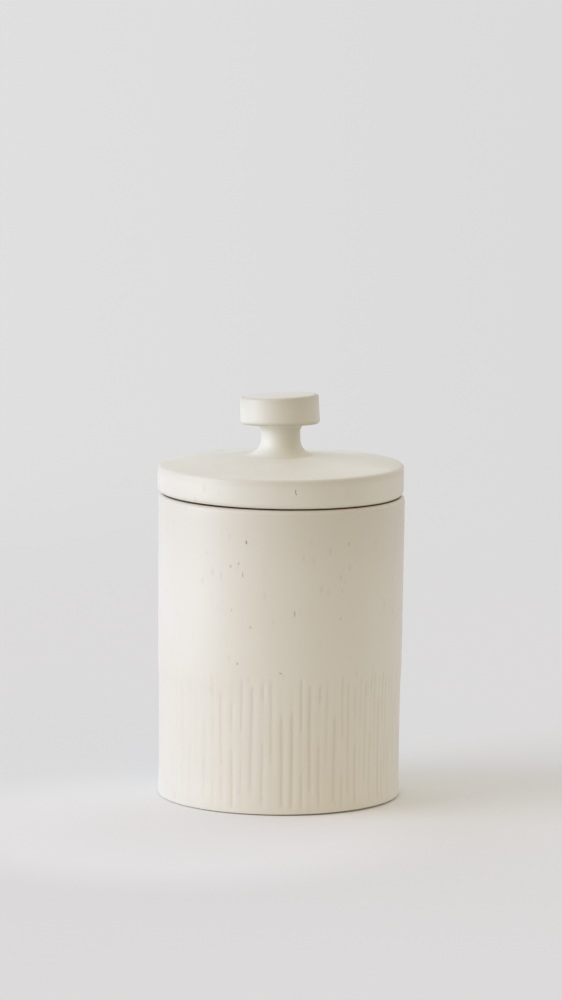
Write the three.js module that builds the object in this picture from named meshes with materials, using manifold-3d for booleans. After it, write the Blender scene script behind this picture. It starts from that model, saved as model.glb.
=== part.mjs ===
// Lidded stoneware canister: a thrown jar with a band of hand-cut flutes, a thick disc lid whose flange
// drops into the mouth, and a turned knob luted onto the lid.
// Millimetres, +Z up. The origin is on the ground, under the middle of the foot. The front faces -Y.
import * as THREE from "three";
import { mergeVertices } from "three/addons/utils/BufferGeometryUtils.js";
import Module from "manifold-3d";

// Jar
const JAR_HEIGHT = 136; // ground to the rim that carries the lid
const RIM_RADIUS = 55;
const FOOT_INSET = 0.8; // the wall opens a little from foot to rim
const WALL = 5.5;
const FLOOR_HEIGHT = 8; // ground to the inside floor
const FLOOR_FILLET = 8; // where the inside floor turns up into the wall
const RIM_ROUND = 1.5;
const MOUTH_ROUND = 1;
const FOOT_BEVEL = 0.8;
const FOOT_RING = 7; // width of the ring that stands on the ground
const FOOT_RECESS = 2; // depth turned out of the base inside that ring

// Flutes, cut one stroke at a time with a round gouge
const FLUTE_COUNT = 90;
const FLUTE_BOTTOM = 5; // mean height of the strokes' lower ends
const FLUTE_TOP = 61; // mean height of their upper ends
const FLUTE_WIDTH = 1.9;
const FLUTE_DEPTH = 0.4;
const FLUTE_RUNOUT = 5; // length over which the gouge enters or lifts out
const FLUTE_RAGGED = 2.2; // how far an end may miss its mean height
const FLUTE_WANDER = 0.45; // how far a stroke may miss its place sideways
const FLUTE_UNEVEN_DEPTH = 0.4; // share by which the depth varies
const FLUTE_SPREAD = 0.12; // radians that a stroke set by eye may stand off its even place
const FLUTE_WIDEST = -0.52; // radians from the front, towards +X, to the strokes that are furthest apart
const GOUGE_SIDES = 8;

// Lid
const LID_EDGE = 12.4; // height of the upright edge
const LID_RISE = 4.5; // further rise of the coned top, up to the knob's seat
const LID_SETBACK = 0.1; // how far the edge stands inside the jar's rim
const LID_UNDER_ROUND = 2;
const LID_TOP_ROUND = 2;
const LID_THICKNESS = 8; // of the coned top over the hollow
const LID_FACETS = 72;
const FLANGE_DEPTH = 10;
const FLANGE_WALL = 5;
const FLANGE_CLEARANCE = 0.9; // between the flange and the jar's mouth
const FLANGE_ROUND = 1;
const HOLLOW_FILLET = 4; // where the flange turns into the ceiling of the hollow

// Knob
const KNOB_FOOT_RADIUS = 12.3;
const KNOB_FOOT_LIP = 0.4; // height of the foot's plain edge below the flare
const KNOB_FLARE = 7.2; // radius of the hollow curve from foot to stem
const STEM_RADIUS = 8.7;
const STEM_LENGTH = 2.5; // straight part between the flare and the neck
const CAP_RADIUS = 17.7;
const CAP_TOP_RADIUS = 17.5;
const CAP_HEIGHT = 13.6;
const CAP_NECK = 4.3; // fillet between stem and cap
const CAP_LOWER_ROUND = 3;
const CAP_UPPER_ROUND = 1;
const KNOB_FACETS = 48;

// Finish
const GLAZE_COLOUR = 0xe4ddcc;
const WALL_ROUGHNESS = 0.6;
const LID_ROUGHNESS = 0.5;

const FACET_ERROR = 0.15; // most that a straight step in a rounded corner may miss its arc
const FLARE_STEPS = 5;
const TURN = 2 * Math.PI;
const UP = new THREE.Vector3(0, 0, 1);

const { Manifold, Mesh: SolidMesh } = await loadSolids();

async function loadSolids() {
  const wasm = await Module();
  wasm.setup();
  return wasm;
}

// A solid from a closed geometry.
function solid(geometry) {
  const bare = geometry.clone();
  bare.deleteAttribute("normal");
  bare.deleteAttribute("uv");
  const merged = mergeVertices(bare);
  const vertProperties = merged.attributes.position.array;
  const triVerts = new Uint32Array(merged.index.array);
  return new Manifold(new SolidMesh({ numProp: 3, vertProperties, triVerts }));
}

// A geometry from a solid.
function geometryOf(body) {
  const mesh = body.getMesh();
  const geometry = new THREE.BufferGeometry();
  geometry.setAttribute("position", new THREE.BufferAttribute(mesh.vertProperties, 3));
  geometry.setIndex(new THREE.BufferAttribute(mesh.triVerts, 1));
  return geometry;
}

// One corner of a turned profile: its radius, its height and the rounding of the corner.
const corner = (radius, height, round = 0) => ({ at: new THREE.Vector2(radius, height), round });

// The part of the side between two corners that the first one's rounding may take up.
const reach = (from, to) => (from.at.distanceTo(to.at) * from.round) / (from.round + to.round);

// The profile through the corners, each rounded by an arc that is tangent to both its sides.
function profile(corners) {
  return corners.flatMap((here, i) => {
    if (!here.round) return [here.at];
    const [last, next] = [corners[i - 1], corners[i + 1]];
    const before = last.at.clone().sub(here.at).normalize();
    const after = next.at.clone().sub(here.at).normalize();
    const half = before.angleTo(after) / 2;
    const trim = Math.min(here.round / Math.tan(half), reach(here, last), reach(here, next));
    const radius = trim * Math.tan(half);
    const inward = before.clone().add(after).normalize();
    const centre = inward.multiplyScalar(radius / Math.sin(half)).add(here.at);
    const start = before.multiplyScalar(trim).add(here.at).sub(centre);
    const end = after.multiplyScalar(trim).add(here.at).sub(centre);
    const sweep = Math.atan2(start.cross(end), start.dot(end));
    const steps = Math.ceil(Math.abs(sweep) / (2 * Math.acos(1 - FACET_ERROR / radius)));
    return Array.from({ length: steps + 1 }, (_, step) =>
      start.clone().rotateAround(new THREE.Vector2(), (sweep * step) / steps).add(centre),
    );
  });
}

// A profile turned about +Z, with its first facet edge at an angle from the front.
function turned(points, facets, firstEdge = 0) {
  return new THREE.LatheGeometry(points, facets, firstEdge).rotateX(Math.PI / 2);
}

// A number from -1 to 1 that jumps about from stroke to stroke, in another way for each trait: the sum of
// two waves that are out of step with each other.
const WAVES = [
  { share: 0.6, step: 2.4 },
  { share: 0.4, step: 5.3 },
];
const uneven = (stroke, trait) =>
  WAVES.reduce((sum, { share, step }) => sum + share * Math.sin(step * stroke + trait / share), 0);

const wallRadius = (height) => RIM_RADIUS - FOOT_INSET * (1 - height / JAR_HEIGHT);
const mouthRadius = RIM_RADIUS - WALL;

// The turned jar before it is carved, with one facet for each stroke.
function jarBlank() {
  const footEdge = wallRadius(0) - FOOT_BEVEL;
  const bandTop = FLUTE_TOP + 2 * FLUTE_RAGGED;
  const points = profile([
    corner(0, FOOT_RECESS),
    corner(footEdge - FOOT_RING - FOOT_RECESS, FOOT_RECESS),
    corner(footEdge - FOOT_RING, 0),
    corner(footEdge, 0),
    corner(wallRadius(FOOT_BEVEL), FOOT_BEVEL),
    corner(wallRadius(bandTop), bandTop),
    corner(RIM_RADIUS, JAR_HEIGHT, RIM_ROUND),
    corner(mouthRadius, JAR_HEIGHT, MOUTH_ROUND),
    corner(wallRadius(FLOOR_HEIGHT) - WALL, FLOOR_HEIGHT, FLOOR_FILLET),
    corner(0, FLOOR_HEIGHT),
  ]);
  return turned(points, FLUTE_COUNT, -Math.PI / FLUTE_COUNT);
}

// The space one stroke of the gouge takes away: a long spindle, pointed so that it runs out of the wall
// at both ends.
function gougeStroke(stroke) {
  const depth = FLUTE_DEPTH * (1 + FLUTE_UNEVEN_DEPTH * uneven(stroke, 1));
  const bottom = FLUTE_BOTTOM + FLUTE_RAGGED * uneven(stroke, 2);
  const length = FLUTE_TOP + FLUTE_RAGGED * uneven(stroke, 3) - bottom;
  const gouge = (FLUTE_WIDTH ** 2 / 4 + FLUTE_DEPTH ** 2) / (2 * FLUTE_DEPTH);
  const point = (FLUTE_RUNOUT * gouge) / depth; // length of the pointed end, mostly clear of the wall
  const spindle = [
    new THREE.Vector2(0, FLUTE_RUNOUT - point),
    new THREE.Vector2(gouge, FLUTE_RUNOUT),
    new THREE.Vector2(gouge, length - FLUTE_RUNOUT),
    new THREE.Vector2(0, length - FLUTE_RUNOUT + point),
  ];
  const half = Math.PI / GOUGE_SIDES;
  const facetDistance = wallRadius(bottom) * Math.cos(Math.PI / FLUTE_COUNT);
  const lean = Math.atan2(FOOT_INSET, JAR_HEIGHT);
  return turned(spindle, GOUGE_SIDES, half)
    .rotateX(lean)
    .translate(FLUTE_WANDER * uneven(stroke, 4), depth - gouge * Math.cos(half) - facetDistance, bottom)
    .rotateZ((stroke * TURN) / FLUTE_COUNT);
}

// Slides everything round the axis, so that the evenly spaced strokes stand as the eye set them.
function setByEye(geometry) {
  const position = geometry.attributes.position;
  const point = new THREE.Vector3();
  for (let i = 0; i < position.count; i += 1) {
    point.fromBufferAttribute(position, i);
    const around = Math.atan2(point.x, -point.y);
    point.applyAxisAngle(UP, FLUTE_SPREAD * Math.sin(2 * (around - FLUTE_WIDEST)));
    position.setXYZ(i, point.x, point.y, point.z);
  }
  return geometry;
}

function jarBody() {
  const strokes = Array.from({ length: FLUTE_COUNT }, (_, stroke) => solid(gougeStroke(stroke)));
  return setByEye(geometryOf(solid(jarBlank()).subtract(Manifold.union(strokes))));
}

// The lid in its own frame: its seat on the rim is at height 0, and the flange hangs below.
function lid() {
  const edge = RIM_RADIUS - LID_SETBACK;
  const flange = mouthRadius - FLANGE_CLEARANCE;
  const hollow = flange - FLANGE_WALL;
  const slope = LID_RISE / (edge - KNOB_FOOT_RADIUS);
  const top = (radius) => LID_EDGE + (edge - radius) * slope;
  return turned(
    profile([
      corner(0, top(KNOB_FOOT_RADIUS) - LID_THICKNESS),
      corner(KNOB_FOOT_RADIUS, top(KNOB_FOOT_RADIUS) - LID_THICKNESS),
      corner(hollow, top(hollow) - LID_THICKNESS, HOLLOW_FILLET),
      corner(hollow, -FLANGE_DEPTH, FLANGE_ROUND),
      corner(flange, -FLANGE_DEPTH, FLANGE_ROUND),
      corner(flange, 0),
      corner(edge, 0, LID_UNDER_ROUND),
      corner(edge, LID_EDGE, LID_TOP_ROUND),
      corner(KNOB_FOOT_RADIUS, top(KNOB_FOOT_RADIUS)),
      corner(0, top(KNOB_FOOT_RADIUS)),
    ]),
    LID_FACETS,
  );
}

// The knob in its own frame, standing on its foot.
function knob() {
  const lowest = Math.acos(1 - (KNOB_FOOT_RADIUS - STEM_RADIUS) / KNOB_FLARE);
  const waist = KNOB_FOOT_LIP + KNOB_FLARE * Math.sin(lowest);
  const flare = Array.from({ length: FLARE_STEPS + 1 }, (_, step) => {
    const angle = lowest * (1 - step / FLARE_STEPS);
    const radius = STEM_RADIUS + KNOB_FLARE * (1 - Math.cos(angle));
    return corner(radius, waist - KNOB_FLARE * Math.sin(angle));
  });
  const capBase = waist + STEM_LENGTH + CAP_NECK;
  return turned(
    profile([
      corner(0, 0),
      corner(KNOB_FOOT_RADIUS, 0),
      ...flare,
      corner(STEM_RADIUS, capBase, CAP_NECK),
      corner(CAP_RADIUS, capBase, CAP_LOWER_ROUND),
      corner(CAP_TOP_RADIUS, capBase + CAP_HEIGHT, CAP_UPPER_ROUND),
      corner(0, capBase + CAP_HEIGHT),
    ]),
    KNOB_FACETS,
  );
}

const creamGlaze = (roughness) =>
  new THREE.MeshStandardMaterial({ color: GLAZE_COLOUR, roughness, metalness: 0 });

function piece(name, geometry, material) {
  const mesh = new THREE.Mesh(geometry, material);
  mesh.name = name;
  return mesh;
}

const canister = new THREE.Group();
canister.add(piece("jar_body", jarBody(), creamGlaze(WALL_ROUGHNESS)));

const lidWithKnob = new THREE.Group();
lidWithKnob.position.z = JAR_HEIGHT;
lidWithKnob.add(piece("lid", lid(), creamGlaze(LID_ROUGHNESS)));
const lidKnob = piece("lid_knob", knob(), creamGlaze(LID_ROUGHNESS));
lidKnob.position.z = LID_EDGE + LID_RISE;
lidWithKnob.add(lidKnob);
canister.add(lidWithKnob);

export default canister;
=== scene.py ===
"""Lidded stoneware canister with a band of hand-cut flutes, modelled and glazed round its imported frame.

The file is laid out as an add-on and run as a script. Each piece of the pot has its own operator.
"""

import math

import bmesh
import bpy
from bpy.props import FloatProperty, FloatVectorProperty, IntProperty, PointerProperty
from bpy.types import Operator, Panel, PropertyGroup
from mathutils import Color, Matrix, Vector


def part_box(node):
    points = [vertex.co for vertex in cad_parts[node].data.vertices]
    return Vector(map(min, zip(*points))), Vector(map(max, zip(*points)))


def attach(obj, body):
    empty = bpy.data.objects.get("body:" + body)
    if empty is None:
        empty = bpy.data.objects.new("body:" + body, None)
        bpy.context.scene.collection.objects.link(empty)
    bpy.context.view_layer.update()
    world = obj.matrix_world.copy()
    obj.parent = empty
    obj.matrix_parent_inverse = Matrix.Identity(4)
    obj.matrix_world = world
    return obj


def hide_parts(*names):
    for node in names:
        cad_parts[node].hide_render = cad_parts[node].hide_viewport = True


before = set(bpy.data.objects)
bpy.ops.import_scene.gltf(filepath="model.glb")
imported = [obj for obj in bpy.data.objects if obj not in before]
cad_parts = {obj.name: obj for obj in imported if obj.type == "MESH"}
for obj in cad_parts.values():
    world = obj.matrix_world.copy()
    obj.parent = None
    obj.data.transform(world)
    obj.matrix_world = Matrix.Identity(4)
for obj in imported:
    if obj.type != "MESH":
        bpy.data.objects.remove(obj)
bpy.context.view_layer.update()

bl_info = {
    "name": "Pottery jar",
    "version": (1, 0, 0),
    "blender": (4, 5, 0),
    "location": "View3D > Sidebar > Pottery",
    "description": "Throws, carves and glazes a lidded stoneware canister round its packed frame",
    "category": "Object",
}

MM = 0.001
TURN = 2 * math.pi
JAR_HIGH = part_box("jar_body")[1]
LID_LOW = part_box("lid")[0]
KNOB_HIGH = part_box("lid_knob")[1]
# How much lower than in the solids the seam lies, in millimetres like the defaults below.
SEAM_DROP = 0.6


# Settings

def length(name, millimetres, description):
    """A size in millimetres, kept in metres."""
    return FloatProperty(
        name=name, description=description, default=millimetres * MM, unit="LENGTH", precision=5
    )


def angle(name, degrees, description):
    """An angle in degrees, kept in radians."""
    return FloatProperty(
        name=name, description=description, default=math.radians(degrees), subtype="ANGLE"
    )


def share(name, default, description):
    """A share from 0 to 1."""
    return FloatProperty(
        name=name, description=description, default=default, min=0, max=1, subtype="FACTOR"
    )


def colour(name, red, green, blue, description):
    """A colour given as screen levels from 0 to 255, kept as linear light."""
    screen = Color((red / 255, green / 255, blue / 255))
    return FloatVectorProperty(
        name=name,
        description=description,
        default=screen.from_srgb_to_scene_linear()[:],
        min=0,
        max=1,
        subtype="COLOR",
    )


class JarSizes(PropertyGroup):
    """Sizes of the thrown jar."""

    height: length("Height", JAR_HIGH.z / MM - SEAM_DROP, "Ground to the rim that carries the lid")
    rim_radius: length("Rim radius", JAR_HIGH.x / MM, "Outside of the wall at the rim")
    foot_inset: length("Foot inset", 0.8, "How much narrower the wall is at the foot")
    wall: length("Wall", 5.5, "Thickness of the wall")
    floor: length("Floor", 8, "Ground to the inside floor")
    floor_fillet: length("Floor fillet", 8, "Where the inside floor turns up into the wall")
    rim_round: length("Rim round", 2, "Outer edge of the rim")
    mouth_round: length("Mouth round", 1, "Inner edge of the rim")
    foot_setback: length("Foot setback", 2.4, "How far the foot stands inside the wall")
    foot_step: length("Foot step", 0.42, "Mean height of the gap under the wall, outside the foot")
    foot_tilt: angle("Foot tilt", 0.37, "How far that gap was trimmed higher towards +X")
    foot_round: length("Foot round", 0.4, "Lower edge of the wall, over the gap")
    foot_ring: length("Foot ring", 5.6, "Width of the ring that stands on the ground")
    foot_recess: length("Foot recess", 2, "Depth turned out of the base inside the ring")
    rim_tilt: angle("Rim tilt", 0.19, "How far the rim dips towards +X")


class FluteSizes(PropertyGroup):
    """The strokes of the gouge round the lower wall."""

    count: IntProperty(name="Count", description="Strokes round the jar", default=90, min=3)
    bottom: length("Bottom", 3.6, "Mean height of the lower ends")
    top: length("Top", 60, "Mean height of the upper ends")
    width: length("Width", 2.6, "Width of a stroke, with its edges softened by the glaze")
    steep: share("Steep side", 0.36, "Share of the width on the side where the gouge dug in")
    depth: length("Depth", 0.16, "Mean depth of a well pressed stroke under the glaze")
    runout: length("Run-out", 2.2, "Length over which the gouge enters or lifts out")
    recess: length("Recess", 0.4, "How far the shaved band lies under the rest of the wall")
    recess_runout: length("Recess run-out", 10, "Length over which the wall turns into the shaved band")
    ragged: length("Ragged ends", 2.4, "How far an end may miss its mean height")
    wander: length("Wander", 0.45, "How far a stroke may miss its place sideways")
    sway: length("Sway", 0.25, "How far a stroke bends aside on its way up")
    uneven_depth: share("Uneven depth", 0.35, "Share by which the depth varies from stroke to stroke")
    uneven_width: share("Uneven width", 0.25, "Share by which the width varies from stroke to stroke")
    swing: share("Swing", 0.65, "Share by which the depth swells and ebbs, twice round the jar")
    deepest: angle("Deepest", 28, "Angle from the front, towards +X, to the deepest strokes")
    skips: share("Skips", 0.25, "How often the gouge skips on its way")
    faint: share("Faint", 0.2, "Share of the depth that is left where the gouge skips")
    spread: angle("Spread", 6.88, "How far a stroke set by eye may stand off its even place")
    widest: angle("Widest", -29.8, "Angle from the front, towards +X, to the widest spaced strokes")


class LidSizes(PropertyGroup):
    """Sizes of the disc lid and its flange."""

    edge: length("Edge", 12.55 + SEAM_DROP, "Height of the upright edge")
    rise: length("Rise", 4.5, "Further rise of the coned top, up to the knob")
    setback: length("Setback", 0.1, "How far the edge stands inside the jar's rim")
    under_round: length("Under round", 2.2, "Lower edge")
    top_round: length("Top round", 1.4, "Upper edge")
    uneven: angle("Uneven edge", 0.82, "How far the top rises towards +X against the seat")
    thickness: length("Thickness", 8, "Thickness of the coned top over the hollow")
    flange_depth: length(
        "Flange depth", (JAR_HIGH.z - LID_LOW.z) / MM, "How far the flange drops into the mouth"
    )
    flange_wall: length("Flange wall", 5, "Thickness of the flange")
    clearance: length("Clearance", 0.9, "Between the flange and the mouth")
    hollow_fillet: length("Hollow fillet", 4, "Where the flange turns into the ceiling")
    seam: length("Seam", 0.35, "Open gap at the outside of the seat")
    tilt: angle("Tilt", 0.37, "How far the seated lid dips towards +X")
    lift: length("Lift", 0.17, "How far the tilt raises the middle of the lid")
    shift: length("Shift", -0.55, "How far the lid sits off the jar's axis, towards +X")


class KnobSizes(PropertyGroup):
    """Sizes of the turned knob."""

    seat_radius: length("Seat radius", 12.3, "Flat seat under the knob")
    flare: length("Flare", 7, "Hollow curve from the lid up to the stem")
    stem_radius: length("Stem radius", 8.7, "Narrowest part")
    cap_radius: length("Cap radius", 17.7, "Widest part")
    cap_top_radius: length("Cap top radius", 17.5, "Upper edge of the cap")
    cap_height: length("Cap height", 12.85, "Mean height of the cap's edge")
    cap_drop: length("Cap drop", 0.65, "How far the middle of the top lies under its highest side")
    neck: length("Neck", 3.2, "Hollow curve under the cap")
    lower_round: length("Lower round", 2, "Lower edge of the cap")
    upper_round: length("Upper round", 1.2, "Upper edge of the cap")
    tilt_right: angle("Tilt to the right", 2.65, "How far the cap's top rises towards +X")
    tilt_front: angle("Tilt to the front", 2.4, "How far the cap's top rises towards the front")
    tilt_under: angle("Tilt underneath", 3.6, "How far the cap's underside rises towards the front")
    shift: length("Shift", -0.7, "How far the knob sits off the jar's axis, towards +X")
    cap_drift: length("Cap drift", -0.85, "How far the cap stands off the stem, towards +X")


class GlazeColours(PropertyGroup):
    """Colours of the glaze, the clay and the iron in it, and of the painted shade and sheen on the glaze.
    """

    glaze: colour("Glaze", 228, 224, 210, "Satin cream glaze")
    thick: colour("Thick glaze", 232, 231, 217, "Satin cream glaze where it lies thick, as on the knob")
    # Painted sheen: this paler glaze coats the whole lid and stands in for the satin sheen of its top.
    painted_sheen_glaze: colour("Pooled glaze", 238, 237, 222, "Where it lies thickest, on the lid")
    warm: colour("Warm glaze", 225, 219, 202, "Where the clay shows through the glaze a little")
    # Partly thinner glaze in the strokes, partly painted shade in their grooves.
    cut: colour("Cut glaze", 205, 197, 178, "Where the glaze lies thin in the strokes")
    iron: colour("Iron", 112, 92, 72, "Specks of iron that come up through the glaze")
    # Painted shade: darker glaze near the jar's rim, under the lid, and just under the crease of the lid's
    # edge.
    painted_shade_glaze: colour("Thin glaze", 221, 215, 199, "Where it ran thin, near the rim and on the lid's edge")
    # Painted shade: darker glaze at the upper and lower edges of the knob's cap.
    painted_cap_shade: colour("Drawn glaze", 207, 202, 184, "Where it drew back from the edges of the knob's cap")
    clay: colour("Clay", 160, 136, 108, "Bare fired stoneware")
    dark_clay: colour("Dark clay", 116, 92, 70, "Bare clay where it is flashed darker")


class StageSettings(PropertyGroup):
    """The floor, the backdrop, the light and the camera."""

    # Painted light: a paler patch of floor in front of the foot, in place of the light that the jar's shade
    # takes away there.
    painted_light_floor: colour("Near floor", 242, 242, 238, "Pale floor at the jar's foot")
    floor: colour("Floor", 233, 233, 228, "Pale floor")
    backdrop: colour("Backdrop", 221, 221, 221, "Seamless backdrop behind the floor")
    left_fill: colour("Left fill", 120, 142, 205, "Soft light from the window side of the room")
    right_fill: colour("Right fill", 199, 197, 212, "Soft light from the wall on the right")
    back_fill: colour("Back fill", 228, 244, 255, "Soft light from behind")
    front_fill: colour("Front fill", 172, 157, 96, "Soft light from the room behind the camera")
    top_fill: colour("Top fill", 186, 173, 158, "Soft light from the ceiling")
    key: colour("Key", 231, 237, 255, "Light from the window")
    key_strength: FloatProperty(name="Key strength", description="Power of the key light", default=2.42)
    key_side: angle("Key side", 75, "Angle of the key light from the camera's side, towards -X")
    key_height: angle("Key height", 12, "Angle of the key light above the ground")
    key_spread: angle("Key spread", 50, "Angle that the key light fills, which softens its shadow")
    floor_radius: length("Floor radius", 1300, "Outer edge of the floor")
    painted_light_middle: FloatVectorProperty(
        name="Near middle",
        description="Middle of the palest part of the floor",
        default=(-50 * MM, -85 * MM, 0),
        subtype="XYZ",
        unit="LENGTH",
    )
    painted_light_radius: length("Near radius", 70, "Radius inside which the floor is palest")
    floor_clear: length("Clear floor", 350, "Radius inside which the floor hides the backdrop")
    camera_distance: length("Camera distance", 2300, "Camera to the jar's axis")
    camera_height: length("Camera height", 459, "Camera above the ground")
    camera_side: length("Camera side", -0.31, "Camera off the jar's axis, towards +X")
    camera_pitch: angle("Camera pitch", 8.08, "How far the camera looks down")
    camera_roll: angle("Camera roll", 0.67, "Turn of the camera about its view")
    lens: FloatProperty(name="Lens", description="Focal length", default=187.5, unit="CAMERA")


class PotterySettings(PropertyGroup):
    """Everything a user would change."""

    jar: PointerProperty(type=JarSizes)
    flutes: PointerProperty(type=FluteSizes)
    lid: PointerProperty(type=LidSizes)
    knob: PointerProperty(type=KnobSizes)
    colours: PointerProperty(type=GlazeColours)
    stage: PointerProperty(type=StageSettings)


# Turned shapes

ARC_STEPS = 5
MERGE = 0.001 * MM


def draw_profile(bm, corners):
    """A wire through corners: the radius, the height and the length that rounding takes off each side."""
    points = [bm.verts.new((radius, 0, height)) for radius, height, _ in corners]
    for start, end in zip(points, points[1:]):
        bm.edges.new((start, end))
    for point, (_, _, trim) in zip(points, corners):
        if trim:
            bmesh.ops.bevel(
                bm,
                geom=[point],
                offset=trim,
                offset_type="OFFSET",
                affect="VERTICES",
                segments=ARC_STEPS,
                profile=0.5,
                material=-1,
            )


def cut_profile(bm, longest, chosen=lambda middle: True):
    """Cuts the chosen edges of a wire so that none is longer than asked."""
    for edge in list(bm.edges):
        middle = (edge.verts[0].co + edge.verts[1].co) / 2
        cuts = math.ceil(edge.calc_length() / longest) - 1
        if cuts > 0 and chosen(middle):
            bmesh.ops.subdivide_edges(bm, edges=[edge], cuts=cuts)


def turn_profile(bm, sectors, columns):
    """Turns a wire into a closed skin that faces outwards: one sector of columns, repeated all round."""
    sector = TURN / sectors
    upright = {"cent": (0, 0, 0), "axis": (0, 0, 1)}
    wire = bm.verts[:] + bm.edges[:]
    bmesh.ops.spin(bm, geom=wire, angle=sector, steps=columns, **upright)
    wedge = bm.verts[:] + bm.edges[:] + bm.faces[:]
    bmesh.ops.spin(bm, geom=wedge, angle=TURN - sector, steps=sectors - 1, use_duplicate=True, **upright)
    bmesh.ops.remove_doubles(bm, verts=bm.verts, dist=MERGE)
    bmesh.ops.recalc_face_normals(bm, faces=bm.faces)


def polar(point):
    """Angle from the front, towards +X, and distance from the axis."""
    return math.atan2(point.x, -point.y), math.hypot(point.x, point.y)


def from_polar(around, radius, height):
    """The point at an angle from the front, a distance from the axis and a height."""
    return Vector((radius * math.sin(around), -radius * math.cos(around), height))


def smooth_step(value):
    """A soft rise from 0 to 1."""
    held = min(max(value, 0), 1)
    return held * held * (3 - 2 * held)


def add_piece(bm, name, material, body, node):
    """Makes a smooth object of a bmesh. It rides on a body and stands for a CAD node."""
    for face in bm.faces:
        face.smooth = True
    mesh = bpy.data.meshes.new(name)
    bm.to_mesh(mesh)
    bm.free()
    mesh.materials.append(material)
    piece = bpy.data.objects.new(name, mesh)
    bpy.context.scene.collection.objects.link(piece)
    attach(piece, body)
    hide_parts(node)


# Jar

COLUMNS_PER_FLUTE = 8
COLUMN_BUNCHING = 0.5
BAND_RING = 1.25 * MM
WALL_RING = 4.5 * MM
INNER_RING = 12 * MM
DEPTH_TRAIT, LOW_TRAIT, HIGH_TRAIT, PLACE_TRAIT, WIDTH_TRAIT = range(1, 6)
# The weight of each wave and its step from stroke to stroke.
TRAIT_WAVES = ((0.6, 2.4), (0.4, 5.3))
# The weight of each wave, its size up the wall and its step from stroke to stroke.
PRESSURE_WAVES = ((0.6, 11 * MM, 2.4), (0.4, 5.1 * MM, 5.3))
SWAY_WAVE = 17 * MM
SKIP_EDGE = 0.4
RIM_SHADE_FALL = 38 * MM
BARE_FOOT = 0.03 * MM
BARE_RIM = 0.02 * MM


def wall_radius(jar, height):
    """Outside of the tapered wall at a height."""
    return jar.rim_radius - jar.foot_inset * (1 - height / jar.height)


def mid_wall(jar):
    """A radius that parts the outside of the wall from its inside."""
    return jar.rim_radius - jar.wall / 2


def uneven(stroke, trait):
    """A number from -1 to 1 that jumps about from stroke to stroke, in another way for each trait."""
    return sum(weight * math.sin(step * stroke + trait / weight) for weight, step in TRAIT_WAVES)


def in_band(flutes, height, runout, low=0, high=0):
    """1 inside the band and 0 outside it. Its soft ends may miss their heights by low and high."""
    entered = smooth_step((height - flutes.bottom - low) / runout)
    return entered * smooth_step((flutes.top + high - height) / runout)


def stroke_depth(flutes, stroke, height):
    """How deep a stroke is at a height: it enters, presses more or less, and lifts out."""
    low = flutes.ragged * uneven(stroke, LOW_TRAIT)
    high = flutes.ragged * uneven(stroke, HIGH_TRAIT)
    entry = in_band(flutes, height, flutes.runout, low, high)
    wave = sum(weight * math.sin(height / size + step * stroke) for weight, size, step in PRESSURE_WAVES)
    pressed = smooth_step((wave + 1 - 2 * flutes.skips) / SKIP_EDGE)
    pressure = flutes.faint + (1 - flutes.faint) * pressed
    swing = flutes.swing * math.cos(2 * (stroke * TURN / flutes.count - flutes.deepest))
    trait = flutes.uneven_depth * uneven(stroke, DEPTH_TRAIT)
    return flutes.depth * (1 + swing) * (1 + trait) * entry * pressure


def stroke_section(flutes, stroke, across):
    """Share of the full depth at a distance from the stroke's deepest line. One side is steeper."""
    width = flutes.width * (1 + flutes.uneven_width * uneven(stroke, WIDTH_TRAIT))
    side = width * (flutes.steep if across < 0 else 1 - flutes.steep)
    return 1 - smooth_step(abs(across) / side)


def stroke_drift(flutes, stroke, height):
    """How far a stroke lies beside its place at a height."""
    return flutes.wander * uneven(stroke, PLACE_TRAIT) + flutes.sway * math.sin(height / SWAY_WAVE + stroke)


def cut_flutes(bm, jar, flutes):
    """Gathers the mesh columns at the strokes, presses these in and notes how deep each vertex lies."""
    carved = bm.verts.layers.float.new("carved")
    pitch = TURN / flutes.count
    for vert in bm.verts:
        around, radius = polar(vert.co)
        if radius < MERGE:
            continue
        stroke = round(around / pitch)
        part = around / pitch - stroke
        part -= COLUMN_BUNCHING * math.sin(TURN * part) / TURN
        near = stroke % flutes.count
        far = (stroke + (1 if part > 0 else -1)) % flutes.count
        away = smooth_step(abs(part))
        height = vert.co.z
        drift = (1 - away) * stroke_drift(flutes, near, height) + away * stroke_drift(flutes, far, height)
        placed = (stroke + part) * pitch + drift / jar.rim_radius
        placed += flutes.spread * math.sin(2 * (placed - flutes.widest))
        if radius > mid_wall(jar):
            section = stroke_section(flutes, near, part * pitch * radius)
            depth = stroke_depth(flutes, near, height) * section
            vert[carved] = depth * section / flutes.depth
            radius -= depth + flutes.recess * in_band(flutes, height, flutes.recess_runout)
        vert.co = from_polar(placed, radius, height)


def mark(bm, name, level):
    """Notes at each vertex a level from 0 to 1 that its radius and height give."""
    layer = bm.verts.layers.float.new(name)
    for vert in bm.verts:
        vert[layer] = level(polar(vert.co)[1], vert.co.z)


def tilt_by_hand(bm, jar):
    """Gives the jar the tilt of its rim and the slanting gap at its foot."""
    dip = math.tan(jar.rim_tilt)
    slant = math.tan(jar.foot_tilt)
    for vert in bm.verts:
        up = smooth_step(vert.co.z / jar.height)
        outside = vert.co.z > MERGE and polar(vert.co)[1] > jar.rim_radius - jar.wall
        low = 1 - smooth_step((vert.co.z - jar.foot_step) / jar.floor) if outside else 0
        vert.co.z += vert.co.x * (slant * low - dip * up)


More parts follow.
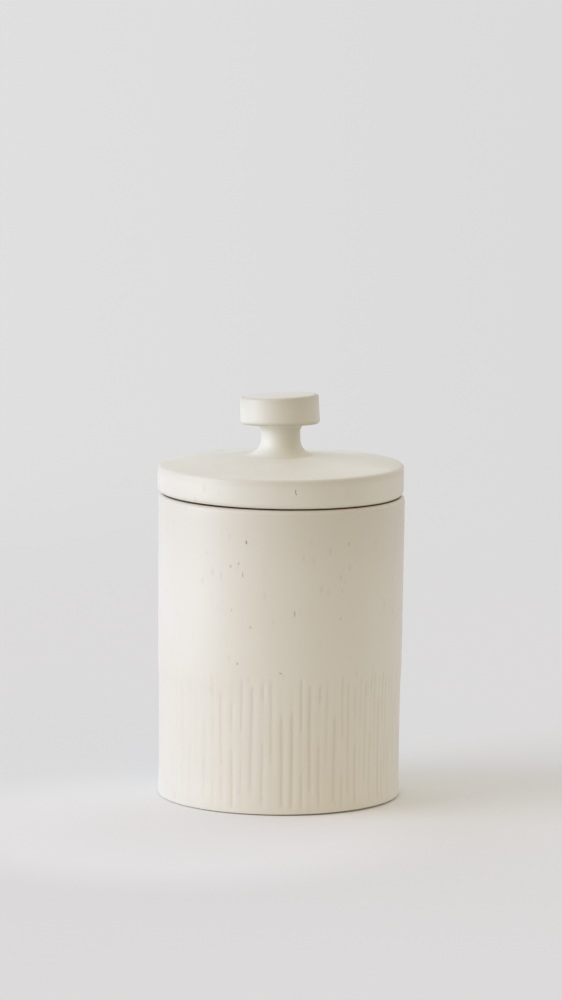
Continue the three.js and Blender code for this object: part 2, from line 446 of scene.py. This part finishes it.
def throw_jar(jar, flutes):
    """The jar's mesh."""
    foot_edge = wall_radius(jar, 0) - jar.foot_setback
    ring_inside = foot_edge - jar.foot_ring
    recess_edge = ring_inside - jar.foot_recess
    band_top = flutes.top + 2 * flutes.ragged
    bm = bmesh.new()
    draw_profile(bm, [
        (0, jar.foot_recess, 0),
        (recess_edge, jar.foot_recess, jar.foot_recess / 2),
        (ring_inside, 0, jar.foot_recess / 4),
        (foot_edge, 0, 0),
        (foot_edge, jar.foot_step, 0),
        (wall_radius(jar, jar.foot_step), jar.foot_step, jar.foot_round),
        (wall_radius(jar, band_top), band_top, 0),
        (jar.rim_radius, jar.height, jar.rim_round),
        (jar.rim_radius - jar.wall, jar.height, jar.mouth_round),
        (wall_radius(jar, jar.floor) - jar.wall, jar.floor, jar.floor_fillet),
        (0, jar.floor, 0),
    ])
    outer = mid_wall(jar)
    cut_profile(bm, BAND_RING, lambda middle: middle.x > outer and middle.z < band_top)
    cut_profile(bm, WALL_RING, lambda middle: middle.x > outer)
    cut_profile(bm, INNER_RING)
    turn_profile(bm, flutes.count, COLUMNS_PER_FLUTE)
    bare_rim = jar.height - BARE_RIM
    mark(bm, "bare_clay", lambda radius, z: z < BARE_FOOT and radius > recess_edge or z > bare_rim)
    # Painted shade: the glaze darkens towards the rim, where the lid overhangs and less light comes up from
    # the floor.
    mark(bm, "painted_shade", lambda radius, z: smooth_step((z - jar.height + RIM_SHADE_FALL) / RIM_SHADE_FALL))
    mark(bm, "shaved", lambda radius, z: in_band(flutes, z, flutes.recess_runout))
    cut_flutes(bm, jar, flutes)
    tilt_by_hand(bm, jar)
    return bm


# Lid and knob

LID_SECTORS = 24
LID_COLUMNS = 8
LID_RING = 3 * MM
SEAT_WIDTH = 0.8 * MM
EDGE_SHADE_LEAST = 0.3
EDGE_SHADE_BAND = 2 * MM
EDGE_SHADE_FALL = 3.5 * MM
KNOB_SECTORS = 24
KNOB_COLUMNS = 6
KNOB_RING = 1.5 * MM
FEATHER = 1.6 * MM
FEATHER_DROP = 0.03
CAP_SHADE_FALL = 1.7 * MM


def lid_slope(jar, lid, knob):
    """Rise of the coned top for each step towards the axis."""
    return lid.rise / (jar.rim_radius - lid.setback - knob.seat_radius)


def lid_top(jar, lid, knob, radius):
    """Height of the coned top above the seat."""
    return lid.edge + (jar.rim_radius - lid.setback - radius) * lid_slope(jar, lid, knob)


def seat_lid(bm, jar, lid, shift):
    """Sets a piece of the lid down as a hand left it: tilted, off the axis, and taller at one side."""
    dip = math.tan(lid.tilt)
    swell = math.tan(lid.uneven)
    for vert in bm.verts:
        up = smooth_step(vert.co.z / lid.edge)
        vert.co.z += jar.height + lid.lift - vert.co.x * (dip - swell * up)
        vert.co.x += shift


def lid_edge_shade(inwards, below):
    """Share of painted shade on the lid's upright edge, at a distance inside it and below its crease."""
    on_edge = 1 - smooth_step(inwards / EDGE_SHADE_BAND)
    return on_edge * (EDGE_SHADE_LEAST + (1 - EDGE_SHADE_LEAST) * (1 - smooth_step(below / EDGE_SHADE_FALL)))


def throw_lid(jar, lid, knob):
    """The lid's mesh."""
    edge = jar.rim_radius - lid.setback
    flange = jar.rim_radius - jar.wall - lid.clearance
    flange_round = lid.flange_wall / 4
    hollow = flange - lid.flange_wall
    crown = lid_top(jar, lid, knob, knob.seat_radius)
    bm = bmesh.new()
    draw_profile(bm, [
        (0, crown - lid.thickness, 0),
        (knob.seat_radius, crown - lid.thickness, 0),
        (hollow, lid_top(jar, lid, knob, hollow) - lid.thickness, lid.hollow_fillet),
        (hollow, -lid.flange_depth, flange_round),
        (flange, -lid.flange_depth, flange_round),
        (flange, 0, 0),
        (flange + SEAT_WIDTH, 0, 0),
        (flange + SEAT_WIDTH + lid.seam, lid.seam, 0),
        (edge, lid.seam, lid.under_round),
        (edge, lid.edge, lid.top_round),
        (knob.seat_radius, crown, 0),
        (0, crown, 0),
    ])
    cut_profile(bm, LID_RING)
    turn_profile(bm, LID_SECTORS, LID_COLUMNS)
    mid_flange = hollow + lid.flange_wall / 2
    mark(bm, "bare_clay", lambda radius, z: z < lid.seam + MERGE and radius > mid_flange)
    # Painted shade on the lid's upright edge, darkest just under its crease.
    crease = lid.edge - lid.top_round / 2
    mark(bm, "painted_shade", lambda radius, z: lid_edge_shade(edge - radius, crease - z))
    seat_lid(bm, jar, lid, lid.shift)
    return bm


def tilt_cap(bm, knob, base, cap_base, top):
    """Tilts the cap as a hand left it: its underside and its top to the front, and its top to the side."""
    right = math.tan(knob.tilt_right)
    over = math.tan(knob.tilt_front)
    under = math.tan(knob.tilt_under)
    for vert in bm.verts:
        height = vert.co.z
        up = smooth_step((height - base) / (top - base))
        on_cap = smooth_step((height - base) / (cap_base - base))
        front = on_cap * (under + (over - under) * smooth_step((height - cap_base) / (top - cap_base)))
        vert.co.z += vert.co.x * right * up - vert.co.y * front
        vert.co.x += up * knob.cap_drift


def cap_edge_shade(knob, radius, below, above):
    """Share of painted shade at the cap's two edges, at a distance below its top and above its base."""
    if radius < knob.cap_radius - knob.lower_round or above < -MERGE:
        return 0
    on_upper = radius > knob.cap_top_radius - knob.upper_round
    upper = CAP_SHADE_FALL / (CAP_SHADE_FALL + below) if on_upper else 0
    return max(upper, 1 - smooth_step(above / knob.lower_round))


def turn_knob(jar, lid, knob):
    """The knob's mesh. Its flare runs out into the top of the lid."""
    slope = lid_slope(jar, lid, knob) + FEATHER_DROP
    # Half the angle between the stem and the lid's top, which the arc of the flare fills.
    meet = math.atan(slope) / 2 + math.pi / 4
    trim = knob.flare / math.tan(meet)
    run = knob.stem_radius + trim + FEATHER
    foot = lid_top(jar, lid, knob, run - FEATHER) + slope * (run - FEATHER - knob.stem_radius)
    hem = foot - slope * (run - knob.stem_radius)
    top = KNOB_HIGH.z - knob.cap_drop - jar.height
    cap_base = top - knob.cap_height
    bm = bmesh.new()
    draw_profile(bm, [
        (0, hem - FEATHER, 0),
        (run, hem - FEATHER, 0),
        (run, hem, 0),
        (knob.stem_radius, foot, trim),
        (knob.stem_radius, cap_base, knob.neck),
        (knob.cap_radius, cap_base, knob.lower_round),
        (knob.cap_top_radius, top, knob.upper_round),
        (0, top, 0),
    ])
    cut_profile(bm, KNOB_RING)
    turn_profile(bm, KNOB_SECTORS, KNOB_COLUMNS)
    # Painted shade at the upper and lower edges of the cap.
    mark(bm, "painted_shade", lambda radius, z: cap_edge_shade(knob, radius, top - z, z - cap_base))
    tilt_cap(bm, knob, (foot + cap_base) / 2, cap_base, top)
    seat_lid(bm, jar, lid, knob.shift)
    return bm


# Shader maths

# Places of the sockets in a Mix node that mixes colours.
MIX_FACTOR, MIX_FIRST, MIX_SECOND, MIX_RESULT = 0, 6, 7, 2


class Wire:
    """A socket of a node tree. Sums on it add Math nodes to the tree."""

    def __init__(self, tree, socket=None):
        self.tree = tree
        self.socket = socket

    def node(self, kind, settings=None, inputs=None, output=0):
        """Adds a node. Its settings are set first, then its sockets get their values or links."""
        made = self.tree.nodes.new(kind)
        for name, value in (settings or {}).items():
            setattr(made, name, value)
        for name, value in (inputs or {}).items():
            if isinstance(value, Wire):
                self.tree.links.new(value.socket, made.inputs[name])
            else:
                made.inputs[name].default_value = value
        return Wire(self.tree, made.outputs[output] if made.outputs else None)

    def sibling(self, output):
        """Another output of the same node."""
        return Wire(self.tree, self.socket.node.outputs[output])

    def maths(self, operation, *values):
        """A sum on numbers."""
        return self.node("ShaderNodeMath", {"operation": operation}, dict(enumerate(values)))

    def vector(self, operation, *values, output=0):
        """A sum on vectors or colours."""
        return self.node("ShaderNodeVectorMath", {"operation": operation}, dict(enumerate(values)), output)

    def __add__(self, other):
        return self.maths("ADD", self, other)

    def __sub__(self, other):
        return self.maths("SUBTRACT", self, other)

    def __rsub__(self, other):
        return self.maths("SUBTRACT", other, self)

    def __mul__(self, other):
        return self.maths("MULTIPLY", self, other)

    __radd__ = __add__
    __rmul__ = __mul__

    def rise(self, low, high):
        """A soft rise from 0 at the first value to 1 at the second."""
        ends = {"Value": self, "From Min": low, "From Max": high}
        return self.node("ShaderNodeMapRange", {"interpolation_type": "SMOOTHSTEP"}, ends)

    def larger(self, other):
        """The larger of this value and another."""
        return self.maths("MAXIMUM", self, other)

    def held(self, low, high):
        """This value, kept between two others."""
        return self.node("ShaderNodeClamp", {}, {"Value": self, "Min": low, "Max": high})

    def scale(self, colour_value):
        """A colour times this value."""
        inputs = {0: colour_value, "Scale": self}
        return self.node("ShaderNodeVectorMath", {"operation": "SCALE"}, inputs)

    def mix(self, first, second):
        """The first colour where this is 0 and the second where it is 1."""
        ends = {MIX_FACTOR: self, MIX_FIRST: first, MIX_SECOND: second}
        return self.node("ShaderNodeMix", {"data_type": "RGBA"}, ends, MIX_RESULT)

    def noise(self, size, detail=2):
        """Soft noise on these coordinates, with blots of about that size."""
        inputs = {"Vector": self, "Scale": 1 / size, "Detail": detail}
        return self.node("ShaderNodeTexNoise", {}, inputs)


def opaque(colour_value):
    """A colour with full opacity, as sockets take it."""
    return (*colour_value, 1.0)


def new_material(name):
    """An empty material, and a wire to start its nodes from."""
    material = bpy.data.materials.new(name)
    material.use_nodes = True
    material.node_tree.nodes.clear()
    return material, Wire(material.node_tree)


def attribute(start, name):
    """A level that was noted at the vertices of the mesh."""
    settings = {"attribute_name": name, "attribute_type": "GEOMETRY"}
    return start.node("ShaderNodeAttribute", settings, output="Fac")


# Glaze and floor

# Where each piece lies in the slow drift of the glaze's tone.
JAR_DRIFT = (0.11, -0.82, -0.34)
LID_DRIFT = (-0.27, 0.38, 0.23)
KNOB_DRIFT = (0.17, 0.48, -0.33)
NOISE_MIDDLE = 0.5
DRIFT_SIZE = 55 * MM
DRIFT_ENDS = (0.3, 0.7)
DRIFT_SHARE = 0.7
MOTTLE_SIZE = 2.5 * MM
MOTTLE_DETAIL = 3
GRAIN_SIZE = 0.35 * MM
GRAIN_ENDS = (0.35, 0.65)
GROOVE_TINT_AND_SHADE = 0.22
SHAVED_OFF = 0.8
BARE_RAGGED = 0.6
BARE_ENDS = (0.4, 0.6)
MOTTLE_RELIEF = 0.6
GRAIN_RELIEF = 0.15
RELIEF_STRENGTH = 0.35
RELIEF_HEIGHT = 0.04 * MM
GLAZE_ROUGHNESS = 0.37
MOTTLE_ROUGHNESS = 0.12
CLAY_ROUGHNESS = 0.4
GLAZE_IOR = 1.5
SPECK_STRETCH = 0.4
SPECK_CORE = 0.2
CRISP_SPECKS = {
    "cell": 7 * MM, "offset": 4.4 * MM, "core": 0.03, "edge": 0.075, "missing": 0.78, "strength": 0.5,
}
SOFT_SPECKS = {
    "cell": 4 * MM, "offset": 1.7 * MM, "core": 0.03, "edge": 0.3, "missing": 0.3, "strength": 0.1,
}


def strewn_specks(place, cell, offset, core, edge, missing, strength):
    """Specks strewn through the glaze, stretched out downwards, each with a strength of its own."""
    drawn_out = place.vector("MULTIPLY_ADD", place, (1, 1, SPECK_STRETCH), (offset, offset, offset))
    spots = place.node("ShaderNodeTexVoronoi", {}, {"Vector": drawn_out, "Scale": 1 / cell})
    chance = place.node("ShaderNodeSeparateColor", {}, {"Color": spots.sibling("Color")})
    return (1 - spots.rise(core, edge)) * chance.rise(missing, 1) * strength


def set_specks(place, specks):
    """Specks that stand where the front of the pot has them."""
    total = None
    for centre, half_width, half_height, strength in specks:
        off = place.vector("SUBTRACT", place, centre)
        scaled = place.vector("DIVIDE", off, (half_width, half_width, half_height))
        reach = place.vector("LENGTH", scaled, output="Value")
        spot = (1 - reach.rise(SPECK_CORE, 1)) * strength
        total = spot if total is None else total.larger(spot)
    return total


def cream_glaze(name, colours, coat, painted_shade_glaze, drift_start, specks=()):
    """Satin cream glaze over stoneware, with iron specks and bare clay where the glaze was wiped off."""
    material, start = new_material(name)
    place = start.node("ShaderNodeTexCoord", output="Object")
    drift = place.vector("ADD", place, drift_start).noise(DRIFT_SIZE)
    mottle = place.noise(MOTTLE_SIZE, MOTTLE_DETAIL)
    grain = place.noise(GRAIN_SIZE)
    tone = drift.rise(*DRIFT_ENDS) * DRIFT_SHARE + mottle * (1 - DRIFT_SHARE)
    glaze = tone.mix(opaque(colours.warm), opaque(coat))
    # Painted shade where this level is set: near the jar's rim, under the lid's crease and at the edges of
    # the knob's cap.
    glaze = attribute(start, "painted_shade").mix(glaze, opaque(painted_shade_glaze))
    # The strokes are darkened partly for thinner glaze and partly as painted shade in their grooves.
    glaze = (attribute(start, "carved") * GROOVE_TINT_AND_SHADE).mix(glaze, opaque(colours.cut))
    iron = strewn_specks(place, **CRISP_SPECKS).larger(strewn_specks(place, **SOFT_SPECKS))
    iron = iron * (1 - attribute(start, "shaved") * SHAVED_OFF)
    if specks:
        iron = iron.larger(set_specks(place, specks))
    glaze = iron.mix(glaze, opaque(colours.iron))
    clay = grain.rise(*GRAIN_ENDS).mix(opaque(colours.dark_clay), opaque(colours.clay))
    bare = (attribute(start, "bare_clay") + (mottle - NOISE_MIDDLE) * BARE_RAGGED).rise(*BARE_ENDS)
    relief = mottle * MOTTLE_RELIEF + grain * (GRAIN_RELIEF + bare * (1 - GRAIN_RELIEF))
    bump = start.node("ShaderNodeBump", {}, {
        "Strength": RELIEF_STRENGTH,
        "Distance": RELIEF_HEIGHT,
        "Height": relief,
    })
    shader = start.node("ShaderNodeBsdfPrincipled", {}, {
        "Base Color": bare.mix(glaze, clay),
        "Roughness": GLAZE_ROUGHNESS + mottle * MOTTLE_ROUGHNESS + bare * CLAY_ROUGHNESS,
        "IOR": GLAZE_IOR,
        "Normal": bump,
    })
    start.node("ShaderNodeOutputMaterial", {}, {"Surface": shader})
    return material


# Angle from the front in degrees, height, half width and half height in millimetres, and strength.
FRONT_SPECKS = (
    (-16.1, 121.1, 0.6, 1.3, 0.75),
    (-23.6, 110.1, 0.75, 1.1, 0.34),
    (-19.7, 111.5, 0.55, 1.2, 0.36),
    (-17.7, 106.7, 0.5, 1.8, 0.42),
    (-13.7, 83.6, 0.6, 1.0, 0.32),
    (6.5, 89.9, 0.55, 2.2, 0.38),
    (-19.9, 67.1, 0.85, 1.0, 0.3),
    (0.3, 63.5, 1.0, 0.7, 0.38),
    (-36.5, 115.3, 0.45, 0.6, 0.28),
    (-23.0, 90.7, 0.6, 1.0, 0.24),
    (29.0, 87.0, 0.6, 1.2, 0.22),
    (31.2, 103.1, 0.4, 1.6, 0.13),
    (29.5, 99.4, 0.5, 1.2, 0.16),
    (-27.9, 23.2, 0.5, 0.6, 0.2),
    (14.8, 24.7, 0.45, 1.1, 0.4),
    (6.7, 35.7, 0.45, 0.8, 0.25),
)
LID_SPECKS = ((6.9, 143.9, 0.35, 1.4, 0.75), (7.2, 142.7, 0.4, 0.45, 0.8))


def specks_on(rows, radius_at, shift=0):
    """Specks on a turned wall: the middle, the half width, the half height and the strength of each."""
    for degrees, height, half_width, half_height, strength in rows:
        spot = from_polar(math.radians(degrees), radius_at(height * MM), height * MM)
        spot.x += shift
        yield spot, half_width * MM, half_height * MM, strength


def jar_glaze(settings):
    """The jar's glaze, with the specks on its front."""
    jar = settings.jar
    flutes = settings.flutes

    def radius_at(height):
        return wall_radius(jar, height) - flutes.recess * in_band(flutes, height, flutes.recess_runout)

    specks = specks_on(FRONT_SPECKS, radius_at)
    colours = settings.colours
    # The darker glaze towards the rim is painted shade.
    return cream_glaze("jar_glaze", colours, colours.glaze, colours.painted_shade_glaze, JAR_DRIFT, tuple(specks))


def lid_glaze(settings):
    """The lid's glaze, with the specks on its edge."""
    edge = settings.jar.rim_radius - settings.lid.setback
    specks = specks_on(LID_SPECKS, lambda height: edge, settings.lid.shift)
    colours = settings.colours
    # Painted sheen: the lid's coat is the paler glaze that paints in the sheen of its top.
    return cream_glaze("lid_glaze", colours, colours.painted_sheen_glaze, colours.painted_shade_glaze, LID_DRIFT, tuple(specks))


def knob_glaze(settings):
    """The knob's glaze, with painted shade at the edges of its cap."""
    colours = settings.colours
    return cream_glaze("knob_glaze", colours, colours.thick, colours.painted_cap_shade, KNOB_DRIFT)


def floor_paper(settings):
    """Pale floor that fades into the backdrop away from the jar, with painted light in a paler patch in
    front of the foot.
    """
    material, start = new_material("floor_paper")
    place = start.node("ShaderNodeTexCoord", output="Object")
    away = place.vector("LENGTH", place, output="Value")
    # Painted light: the floor grows paler towards this middle, in front of the foot.
    palest = place.vector("DISTANCE", place, settings.painted_light_middle, output="Value")
    pale = 1 - palest.rise(settings.painted_light_radius, 2 * settings.painted_light_radius)
    tint = pale.mix(opaque(settings.floor), opaque(settings.painted_light_floor))
    paper = start.node("ShaderNodeBsdfDiffuse", {}, {"Color": tint})
    clear = start.node("ShaderNodeBsdfTransparent")
    fade = away.rise(settings.floor_clear, settings.floor_radius)
    shader = start.node("ShaderNodeMixShader", {}, {0: fade, 1: paper, 2: clear})
    start.node("ShaderNodeOutputMaterial", {}, {"Surface": shader})
    return material


# Stage

BACKDROP_FALL = 0.45
BACKDROP_RANGE = 0.04
HORIZON = 0.02
FLOOR_SIDES = 128
FLOOR_DROP = 0.1 * MM


def light_world(settings):
    """Soft light from every side of the room, and the pale backdrop where it is seen."""
    world = bpy.data.worlds.new("soft_studio")
    world.use_nodes = True
    world.node_tree.nodes.clear()
    start = Wire(world.node_tree)
    view = start.node("ShaderNodeTexCoord", output="Generated")
    across = start.node("ShaderNodeSeparateXYZ", {}, {"Vector": view})
    back, up = across.sibling("Y"), across.sibling("Z")
    sides = (
        (across * -1, settings.left_fill),
        (across, settings.right_fill),
        (back, settings.back_fill),
        (back * -1, settings.front_fill),
        (up, settings.top_fill),
    )
    above = up.rise(-HORIZON, HORIZON)
    glows = [(towards.held(0, 1) * above).scale(tint) for towards, tint in sides]
    room = glows[0]
    for glow in glows[1:]:
        room = room.vector("ADD", room, glow)
    # Painted shade: the backdrop is a little darker towards +X, away from the window light.
    backdrop_shade = (across * -BACKDROP_FALL).held(-BACKDROP_RANGE, BACKDROP_RANGE) + 1
    path = start.node("ShaderNodeLightPath", output="Is Camera Ray")
    seen = path + path.sibling("Is Glossy Ray") + path.sibling("Is Transmission Ray")
    light = seen.held(0, 1).mix(room, backdrop_shade.scale(settings.backdrop))
    surface = start.node("ShaderNodeBackground", {}, {"Color": light, "Strength": 1.0})
    start.node("ShaderNodeOutputWorld", {}, {"Surface": surface})
    bpy.context.scene.world = world


def lay_floor(settings):
    """A round floor, a hair under the foot."""
    bm = bmesh.new()
    bmesh.ops.create_circle(bm, cap_ends=True, segments=FLOOR_SIDES, radius=settings.floor_radius)
    mesh = bpy.data.meshes.new("floor")
    bm.to_mesh(mesh)
    bm.free()
    mesh.transform(Matrix.Translation((0, 0, -FLOOR_DROP)))
    mesh.materials.append(floor_paper(settings))
    floor = bpy.data.objects.new("floor", mesh)
    bpy.context.scene.collection.objects.link(floor)


def hang_key(settings):
    """A broad light from the left, a little in front."""
    light = bpy.data.lights.new("key", "SUN")
    light.energy = settings.key_strength
    light.color = settings.key
    light.angle = settings.key_spread
    key = bpy.data.objects.new("key", light)
    bpy.context.scene.collection.objects.link(key)
    towards = from_polar(-settings.key_side, math.cos(settings.key_height), math.sin(settings.key_height))
    key.rotation_mode = "QUATERNION"
    key.rotation_quaternion = (-towards).to_track_quat("-Z", "Y")


def set_camera(settings):
    """A camera in front of the jar that looks down on it a little."""
    data = bpy.data.cameras.new("camera")
    data.lens = settings.lens
    camera = bpy.data.objects.new("camera", data)
    bpy.context.scene.collection.objects.link(camera)
    stand = Matrix.Translation((settings.camera_side, -settings.camera_distance, settings.camera_height))
    pitch = Matrix.Rotation(math.pi / 2 - settings.camera_pitch, 4, "X")
    camera.matrix_world = stand @ pitch @ Matrix.Rotation(settings.camera_roll, 4, "Z")
    bpy.context.scene.camera = camera


# Operators and panel

class POTTERY_OT_set_stage(Operator):
    """Set the floor, the light and the camera"""

    bl_idname = "pottery.set_stage"
    bl_label = "Set the stage"

    def execute(self, context):
        stage = context.scene.pottery.stage
        context.scene.view_settings.view_transform = "Standard"
        light_world(stage)
        lay_floor(stage)
        hang_key(stage)
        set_camera(stage)
        return {"FINISHED"}


class POTTERY_OT_throw_jar(Operator):
    """Throw the jar, cut its flutes and glaze it"""

    bl_idname = "pottery.throw_jar"
    bl_label = "Throw the jar"

    def execute(self, context):
        settings = context.scene.pottery
        bm = throw_jar(settings.jar, settings.flutes)
        add_piece(bm, "glazed_jar", jar_glaze(settings), "jar", "jar_body")
        return {"FINISHED"}


class POTTERY_OT_throw_lid(Operator):
    """Throw the lid, seat it on the rim and glaze it"""

    bl_idname = "pottery.throw_lid"
    bl_label = "Throw the lid"

    def execute(self, context):
        settings = context.scene.pottery
        bm = throw_lid(settings.jar, settings.lid, settings.knob)
        add_piece(bm, "glazed_lid", lid_glaze(settings), "lid", "lid")
        return {"FINISHED"}


class POTTERY_OT_turn_knob(Operator):
    """Turn the knob, lute it onto the lid and glaze it"""

    bl_idname = "pottery.turn_knob"
    bl_label = "Turn the knob"

    def execute(self, context):
        settings = context.scene.pottery
        bm = turn_knob(settings.jar, settings.lid, settings.knob)
        add_piece(bm, "glazed_knob", knob_glaze(settings), "lid", "lid_knob")
        return {"FINISHED"}


OPERATORS = (POTTERY_OT_set_stage, POTTERY_OT_throw_jar, POTTERY_OT_throw_lid, POTTERY_OT_turn_knob)


class VIEW3D_PT_pottery(Panel):
    """Lists the operators and their settings"""

    bl_label = "Pottery jar"
    bl_space_type = "VIEW_3D"
    bl_region_type = "UI"
    bl_category = "Pottery"

    def draw(self, context):
        for operator in OPERATORS:
            self.layout.operator(operator.bl_idname)
        for group in PotterySettings.__annotations__:
            settings = getattr(context.scene.pottery, group)
            box = self.layout.box()
            box.label(text=group.capitalize())
            for name in settings.__annotations__:
                box.prop(settings, name)


GROUPS = (JarSizes, FluteSizes, LidSizes, KnobSizes, GlazeColours, StageSettings, PotterySettings)


def register():
    for item in (*GROUPS, *OPERATORS, VIEW3D_PT_pottery):
        bpy.utils.register_class(item)
    bpy.types.Scene.pottery = PointerProperty(type=PotterySettings)


def unregister():
    del bpy.types.Scene.pottery
    for item in reversed((*GROUPS, *OPERATORS, VIEW3D_PT_pottery)):
        bpy.utils.unregister_class(item)


def main():
    register()
    bpy.ops.pottery.set_stage()
    bpy.ops.pottery.throw_jar()
    bpy.ops.pottery.throw_lid()
    bpy.ops.pottery.turn_knob()


if __name__ == "__main__":
    main()
